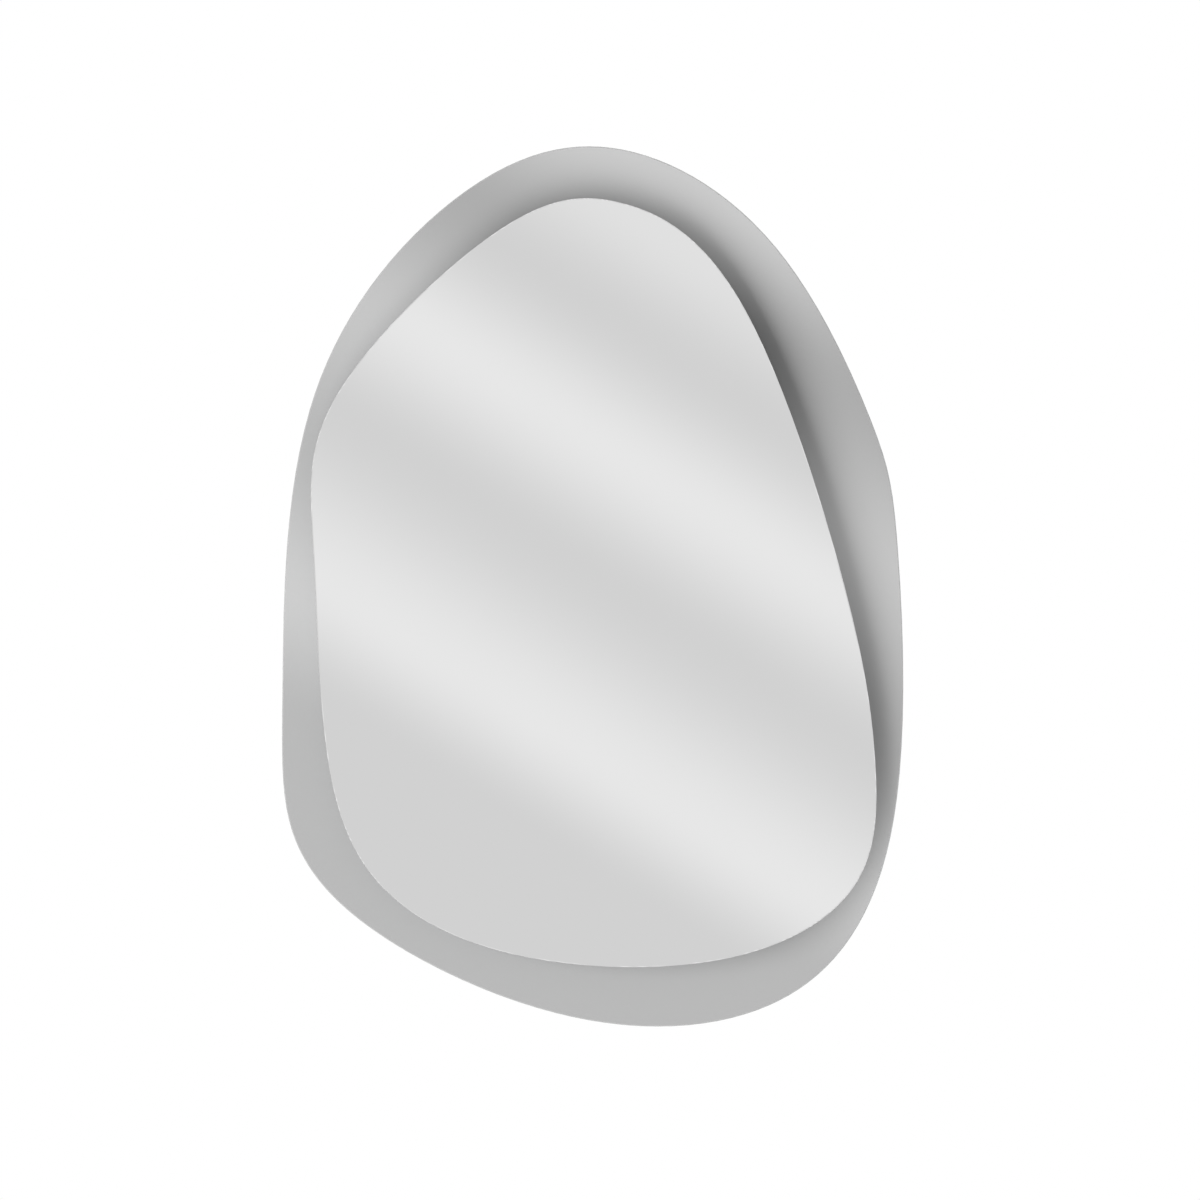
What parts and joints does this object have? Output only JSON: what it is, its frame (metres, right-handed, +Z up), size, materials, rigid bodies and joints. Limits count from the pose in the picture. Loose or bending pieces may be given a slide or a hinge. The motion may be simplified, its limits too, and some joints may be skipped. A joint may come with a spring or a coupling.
{
  "type": "irregular layered wall mirror",
  "caption": "Frameless wall mirror of two layered, irregular rounded panels, a silver one standing off a larger satin grey one, on a hidden hook rail that it lifts off.",
  "frame": {"origin": "middle of the wall rail's row of screw holes, on the wall plane", "axes": "+Z up, +Y into the wall, +X to the right as seen from the room; the mirror faces -Y"},
  "size_m": [0.6005, 0.0514, 0.8507],
  "materials": {
    "silvered_glass": "polished",
    "satin_grey_mirror": "satin",
    "safety_film": "woven film",
    "black_board": "painted fibreboard",
    "foam_tape": "matte",
    "adhesive": "satin",
    "nylon": "moulded",
    "zinc_steel": "zinc plated",
    "brass": "turned",
    "aluminium": "extruded",
    "black_rubber": "moulded"
  },
  "bodies": {
    "wall_rail": {"wall_rail": "aluminium"},
    "mirror": {"mirror_rail": "aluminium", "mirror_rail_screws": "zinc_steel", "wall_bumpers": "black_rubber", "bumper_washers": "zinc_steel", "bumper_screws": "zinc_steel", "backing_board": "black_board", "rear_safety_film": "safety_film", "rear_mirror_glass": "satin_grey_mirror", "glass_bushes": "nylon", "joining_washers": "zinc_steel", "threaded_inserts": "brass", "joining_screws": "zinc_steel", "spacer_board": "black_board", "front_foam_tape": "foam_tape", "front_adhesive_beads": "adhesive", "rear_foam_tape": "foam_tape", "rear_adhesive_beads": "adhesive", "spacer_foam_tape": "foam_tape", "front_safety_film": "safety_film", "front_mirror_glass": "silvered_glass"}
  },
  "joints": [
    {"name": "lift_off", "type": "slide", "parent": "wall_rail", "child": "mirror", "axis": [0, 0, 1], "range_m": [0, 0.015]}
  ]
}
